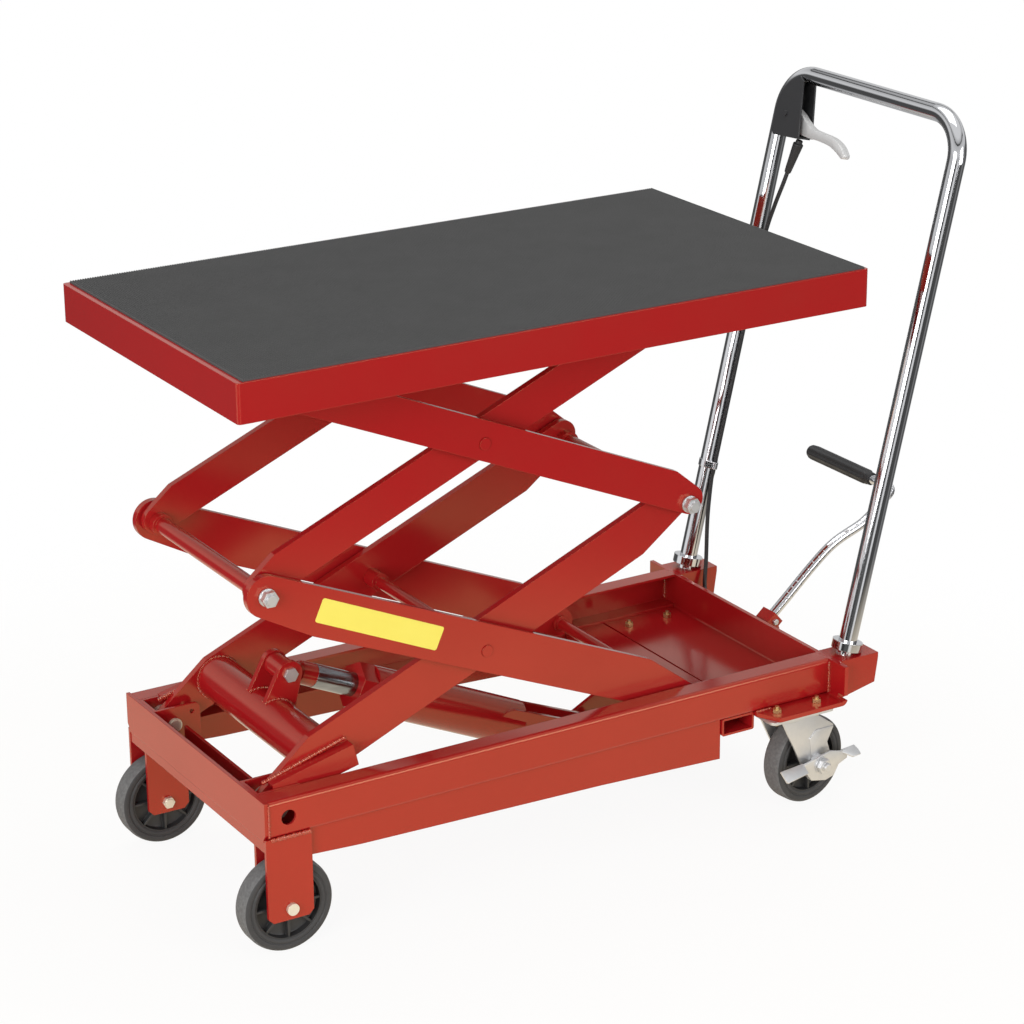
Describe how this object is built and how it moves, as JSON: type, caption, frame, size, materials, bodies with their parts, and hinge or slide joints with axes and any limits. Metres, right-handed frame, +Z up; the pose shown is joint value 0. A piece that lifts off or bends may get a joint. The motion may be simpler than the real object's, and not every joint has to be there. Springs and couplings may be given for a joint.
{
  "type": "scissor lift table",
  "caption": "Wheeled hydraulic lift table: ribbed platform on a double scissor, raised by a foot pedal pump and lowered by a hand lever on a bent push handle.",
  "frame": {"origin": "floor level under the centre of the bounding box at the drawn height", "axes": "+X towards the push handle, +Y to the right as seen from behind the handle, +Z up"},
  "size_m": [1.147, 0.5, 0.944],
  "materials": {
    "red_paint": "gloss red enamel",
    "zinc_steel": "bright zinc plate",
    "chrome": "polished chrome",
    "roller_steel": "turned steel",
    "wheel_rubber": "dark grey moulded rubber",
    "mat_rubber": "fine-ribbed dark grey rubber",
    "black_rubber": "matt black rubber",
    "cast_aluminium": "bright cast aluminium",
    "black_paint": "satin black",
    "pump_iron": "grey cast iron"
  },
  "bodies": {
    "base": {"side_rail_left": "red_paint", "side_rail_right": "red_paint", "skirt_plates": "red_paint", "front_cross_member": "red_paint", "rear_deck": "red_paint", "rear_cross_tube": "red_paint", "pivot_brackets": "red_paint", "wheel_forks": "red_paint", "base_pins": "zinc_steel", "handle_sockets": "red_paint", "handle_fittings": "chrome", "handle": "chrome", "release_bracket": "black_paint", "release_cable": "black_rubber", "cable_boot": "black_rubber", "pump_body": "pump_iron", "pump_cradle": "red_paint", "pedal_hinge": "red_paint", "caster_plates": "zinc_steel", "deck_bolts": "zinc_steel"},
    "lower_inner": {"lower_inner_arm_left": "red_paint", "lower_inner_arm_right": "red_paint", "lift_tube": "red_paint", "mid_rear_tube": "red_paint", "lower_centre_rod": "red_paint", "lower_frame_bolts": "zinc_steel"},
    "lower_outer": {"lower_outer_arm_left": "red_paint", "lower_outer_arm_right": "red_paint", "lower_roller_axle": "red_paint"},
    "upper_inner": {"upper_inner_arm_left": "red_paint", "upper_inner_arm_right": "red_paint", "mid_front_tube": "red_paint", "upper_frame_bolts": "zinc_steel"},
    "upper_outer": {"upper_outer_arm_left": "red_paint", "upper_outer_arm_right": "red_paint", "upper_pivot_pins": "red_paint"},
    "platform": {"platform_tray": "red_paint", "platform_mat": "mat_rubber", "platform_channels": "red_paint", "platform_brackets": "red_paint"},
    "cylinder_rod": {"cylinder_rod": "chrome"},
    "cylinder_barrel": {"cylinder_barrel": "red_paint", "gland_nut": "red_paint"},
    "pedal": {"pedal_lever": "red_paint", "pedal_bar": "chrome", "pedal_grip": "black_rubber"},
    "plunger": {"pump_plunger": "chrome"},
    "release_lever": {"release_lever": "cast_aluminium"},
    "lower_roller_left": {"lower_roller_left": "roller_steel"},
    "upper_roller_left": {"upper_roller_left": "roller_steel"},
    "front_wheel_left": {"front_wheel_left": "wheel_rubber"},
    "caster_left": {"caster_fork_left": "zinc_steel"},
    "caster_wheel_left": {"caster_wheel_left": "wheel_rubber"},
    "caster_brake_left": {"caster_brake_left": "zinc_steel"},
    "lower_roller_right": {"lower_roller_right": "roller_steel"},
    "upper_roller_right": {"upper_roller_right": "roller_steel"},
    "front_wheel_right": {"front_wheel_right": "wheel_rubber"},
    "caster_right": {"caster_fork_right": "zinc_steel"},
    "caster_wheel_right": {"caster_wheel_right": "wheel_rubber"},
    "caster_brake_right": {"caster_brake_right": "zinc_steel"}
  },
  "joints": [
    {"name": "lift", "type": "hinge", "parent": "base", "child": "lower_inner", "pos_m": [-0.504, 0, 0.188], "axis": [0, -1, 0], "range_deg": [-17.7, 25.5]},
    {"name": "lower_cross", "type": "hinge", "parent": "lower_inner", "child": "lower_outer", "pos_m": [-0.19503, 0, 0.3275], "axis": [0, -1, 0], "range_deg": [-51.5, 35.9]},
    {"name": "mid_rear_pivot", "type": "hinge", "parent": "lower_inner", "child": "upper_outer", "pos_m": [0.11393, 0, 0.46701], "axis": [0, -1, 0], "range_deg": [-51.5, 35.9]},
    {"name": "upper_cross", "type": "hinge", "parent": "upper_outer", "child": "upper_inner", "pos_m": [-0.19503, 0, 0.60651], "axis": [0, -1, 0], "range_deg": [-35.9, 51.5]},
    {"name": "platform_pivot", "type": "hinge", "parent": "upper_outer", "child": "platform", "pos_m": [-0.504, 0, 0.74601], "axis": [0, -1, 0], "range_deg": [-18.2, 26]},
    {"name": "cylinder_pivot", "type": "hinge", "parent": "lower_inner", "child": "cylinder_rod", "pos_m": [-0.40685, 0, 0.29287], "axis": [0, -1, 0], "range_deg": [-27.62, 19.32]},
    {"name": "cylinder_stroke", "type": "slide", "parent": "cylinder_rod", "child": "cylinder_barrel", "axis": [0.9089, 0, -0.4169], "range_m": [-0.0418, 0.06]},
    {"name": "lower_roller_left_spin", "type": "hinge", "parent": "lower_outer", "child": "lower_roller_left", "pos_m": [0.11393, -0.1865, 0.188], "axis": [0, 1, 0], "continuous": true},
    {"name": "upper_roller_left_spin", "type": "hinge", "parent": "upper_inner", "child": "upper_roller_left", "pos_m": [0.11393, -0.1865, 0.74601], "axis": [0, 1, 0], "continuous": true},
    {"name": "front_wheel_left_spin", "type": "hinge", "parent": "base", "child": "front_wheel_left", "pos_m": [-0.504, -0.181, 0.0625], "axis": [0, 1, 0], "continuous": true},
    {"name": "caster_left_swivel", "type": "hinge", "parent": "base", "child": "caster_left", "pos_m": [0.258, -0.1815, 0.149], "axis": [0, 0, 1], "continuous": true},
    {"name": "caster_wheel_left_spin", "type": "hinge", "parent": "caster_left", "child": "caster_wheel_left", "pos_m": [0.30256, -0.17524, 0.0625], "axis": [-0.1392, 0.9903, 0], "continuous": true},
    {"name": "caster_brake_left_tilt", "type": "hinge", "parent": "caster_left", "child": "caster_brake_left", "pos_m": [0.30256, -0.17524, 0.0625], "axis": [-0.1392, 0.9903, 0], "range_deg": [-8, 10]},
    {"name": "lower_roller_right_spin", "type": "hinge", "parent": "lower_outer", "child": "lower_roller_right", "pos_m": [0.11393, 0.1865, 0.188], "axis": [0, 1, 0], "continuous": true},
    {"name": "upper_roller_right_spin", "type": "hinge", "parent": "upper_inner", "child": "upper_roller_right", "pos_m": [0.11393, 0.1865, 0.74601], "axis": [0, 1, 0], "continuous": true},
    {"name": "front_wheel_right_spin", "type": "hinge", "parent": "base", "child": "front_wheel_right", "pos_m": [-0.504, 0.181, 0.0625], "axis": [0, 1, 0], "continuous": true},
    {"name": "caster_right_swivel", "type": "hinge", "parent": "base", "child": "caster_right", "pos_m": [0.258, 0.1815, 0.149], "axis": [0, 0, 1], "continuous": true},
    {"name": "caster_wheel_right_spin", "type": "hinge", "parent": "caster_right", "child": "caster_wheel_right", "pos_m": [0.30256, 0.18776, 0.0625], "axis": [-0.1392, 0.9903, 0], "continuous": true},
    {"name": "caster_brake_right_tilt", "type": "hinge", "parent": "caster_right", "child": "caster_brake_right", "pos_m": [0.30256, 0.18776, 0.0625], "axis": [-0.1392, 0.9903, 0], "range_deg": [-8, 10]},
    {"name": "pedal_press", "type": "hinge", "parent": "base", "child": "pedal", "pos_m": [0.351, -0.03, 0.168], "axis": [0, 1, 0], "range_deg": [0, 32], "stiffness_Nm_per_rad": 10, "springref_deg": -25.78},
    {"name": "plunger_stroke", "type": "slide", "parent": "base", "child": "plunger", "axis": [-1, 0, 0], "range_m": [0, 0.0265]},
    {"name": "release_squeeze", "type": "hinge", "parent": "base", "child": "release_lever", "pos_m": [0.51304, 0.1665, 0.87311], "axis": [-0.9732, 0, 0.23], "range_deg": [0, 18], "stiffness_Nm_per_rad": 2, "springref_deg": -17.19}
  ],
  "couplings": [
    {"joint": "lower_cross", "follows": "lift", "ratio": -2},
    {"joint": "mid_rear_pivot", "follows": "lift", "ratio": -2},
    {"joint": "upper_cross", "follows": "lift", "ratio": 2},
    {"joint": "platform_pivot", "follows": "lift", "ratio": 1},
    {"joint": "cylinder_pivot", "follows": "lift", "ratio": -1.0634},
    {"joint": "cylinder_stroke", "follows": "lift", "m_per_rad": 0.13372},
    {"joint": "plunger_stroke", "follows": "pedal_press", "m_per_rad": 0.0465}
  ]
}
